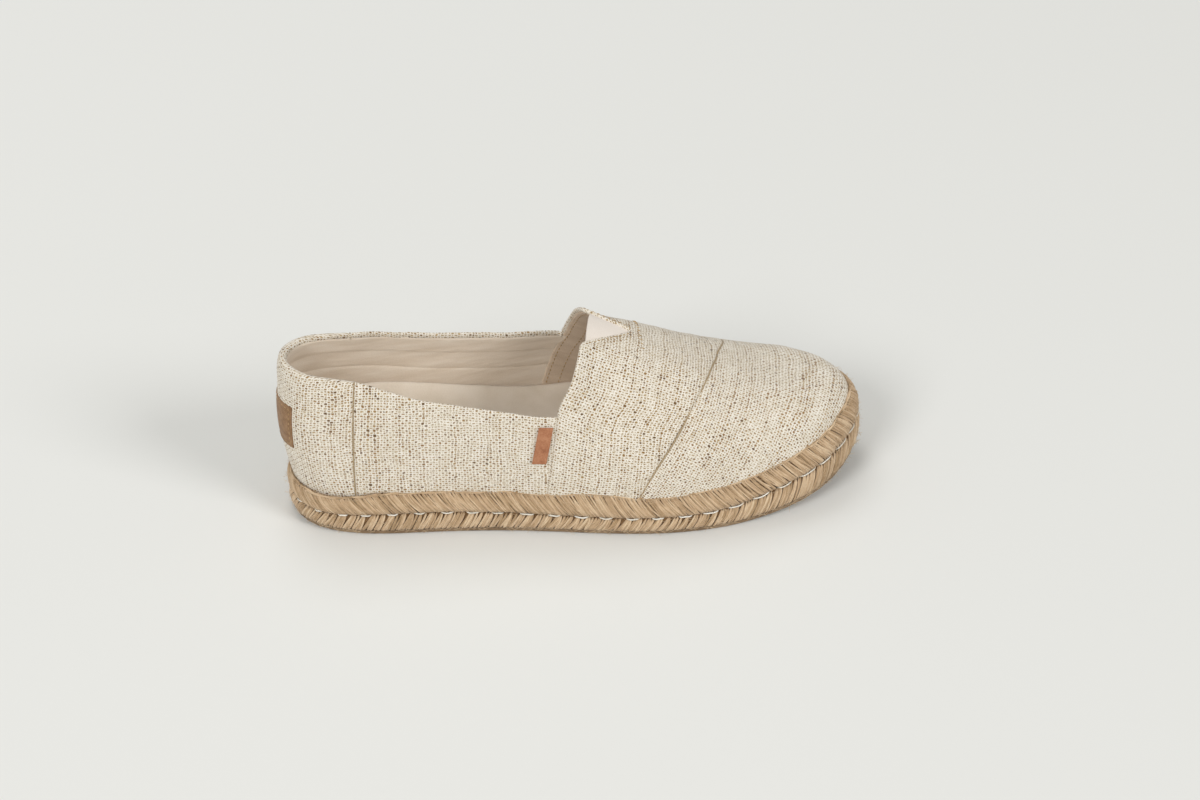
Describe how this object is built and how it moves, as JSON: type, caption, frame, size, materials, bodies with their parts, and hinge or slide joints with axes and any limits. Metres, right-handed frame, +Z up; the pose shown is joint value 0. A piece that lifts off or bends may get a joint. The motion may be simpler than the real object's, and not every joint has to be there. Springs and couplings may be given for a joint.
{
  "type": "espadrille",
  "caption": "Rope-soled slip-on shoe for the right foot: hollow woven upper with an elastic gore, cushioned insole, braided rope sole and thin rubber outsole.",
  "frame": {"origin": "middle of the bounding box's underside, on the ground plane under the waist", "axes": "+X from heel to toe, +Y towards the medial (big toe) side, +Z up"},
  "size_m": [0.2738, 0.1, 0.0893],
  "materials": {
    "outsole": "thin matte tan-brown rubber sheet",
    "jute_sole": "coiled and stitched jute braid, matte",
    "jute_foxing": "wrapped jute rope row, matte",
    "upper": "open slubby basket weave in natural off-white yarn over a cotton lining",
    "gore": "pale ribbed elastic",
    "insole": "pale brushed suede over cushion foam",
    "side_tag": "smooth terracotta-tan leather tab, left blank",
    "heel_patch": "brown twill patch with a stitched border, left blank"
  },
  "bodies": {
    "root": {"outsole": "outsole", "jute_sole": "jute_sole", "jute_foxing": "jute_foxing", "upper": "upper", "gore": "gore", "insole": "insole", "side_tag": "side_tag", "heel_patch": "heel_patch"}
  },
  "joints": []
}
